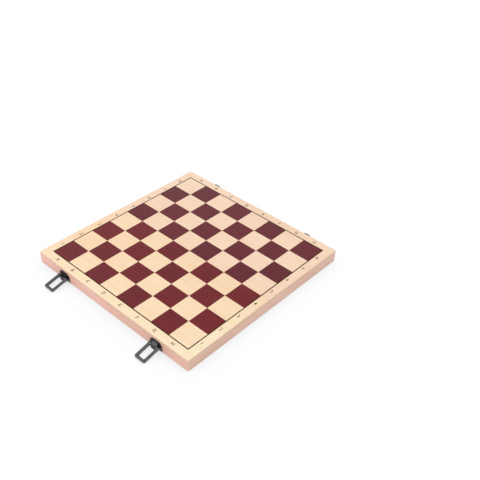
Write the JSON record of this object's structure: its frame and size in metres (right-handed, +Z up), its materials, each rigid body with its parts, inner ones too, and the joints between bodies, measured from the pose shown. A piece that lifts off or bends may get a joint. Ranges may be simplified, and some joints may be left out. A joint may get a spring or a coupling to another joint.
{
  "type": "folding chessboard case",
  "caption": "Folding wooden chessboard that closes into a shallow case: two hinged trays with inlaid playing surfaces, window-lever snap latches.",
  "frame": {"origin": "on the fold axis at mid-width, in the plane of the hinge pins, which is the plane where the two rims meet when closed", "axes": "+X along the fold from file A to file H, +Y from rank 1 to rank 8, +Z up out of the playing surface"},
  "size_m": [0.4, 0.447, 0.0263],
  "materials": {
    "beech_panel": "satin lacquer",
    "beech_wall": "satin lacquer",
    "mahogany_veneer": "satin lacquer",
    "walnut_line": "satin lacquer",
    "black_metal": "semi-gloss black lacquer",
    "black_screw": "black",
    "hinge_brass": "brushed",
    "pin_steel": "drawn wire"
  },
  "bodies": {
    "near_half": {"near_playing_panel": "beech_panel", "near_dark_squares": "mahogany_veneer", "near_border_line": "walnut_line", "near_outer_wall": "beech_wall", "near_fold_wall": "beech_wall", "near_left_wall": "beech_wall", "near_right_wall": "beech_wall", "left_hinge_near_leaf": "hinge_brass", "right_hinge_near_leaf": "hinge_brass", "left_hinge_pin": "pin_steel", "right_hinge_pin": "pin_steel", "near_hinge_screws": "hinge_brass", "left_latch_base": "black_metal", "right_latch_base": "black_metal", "left_latch_pin": "black_metal", "right_latch_pin": "black_metal", "latch_base_screws": "black_screw"},
    "far_half": {"far_playing_panel": "beech_panel", "far_dark_squares": "mahogany_veneer", "far_border_line": "walnut_line", "far_outer_wall": "beech_wall", "far_fold_wall": "beech_wall", "far_left_wall": "beech_wall", "far_right_wall": "beech_wall", "left_hinge_far_leaf": "hinge_brass", "right_hinge_far_leaf": "hinge_brass", "far_hinge_screws": "hinge_brass", "left_keeper": "black_metal", "right_keeper": "black_metal", "keeper_screws": "black_screw"},
    "left_lever": {"left_latch_lever": "black_metal"},
    "right_lever": {"right_latch_lever": "black_metal"}
  },
  "joints": [
    {"name": "fold", "type": "hinge", "parent": "near_half", "child": "far_half", "pos_m": [0, 0, 0], "axis": [-1, 0, 0], "range_deg": [0, 180]},
    {"name": "left_lever_swing", "type": "hinge", "parent": "near_half", "child": "left_lever", "pos_m": [-0.124, -0.205, 0.01], "axis": [-1, 0, 0], "range_deg": [-77, 103]},
    {"name": "right_lever_swing", "type": "hinge", "parent": "near_half", "child": "right_lever", "pos_m": [0.124, -0.205, 0.01], "axis": [-1, 0, 0], "range_deg": [-77, 103]}
  ]
}
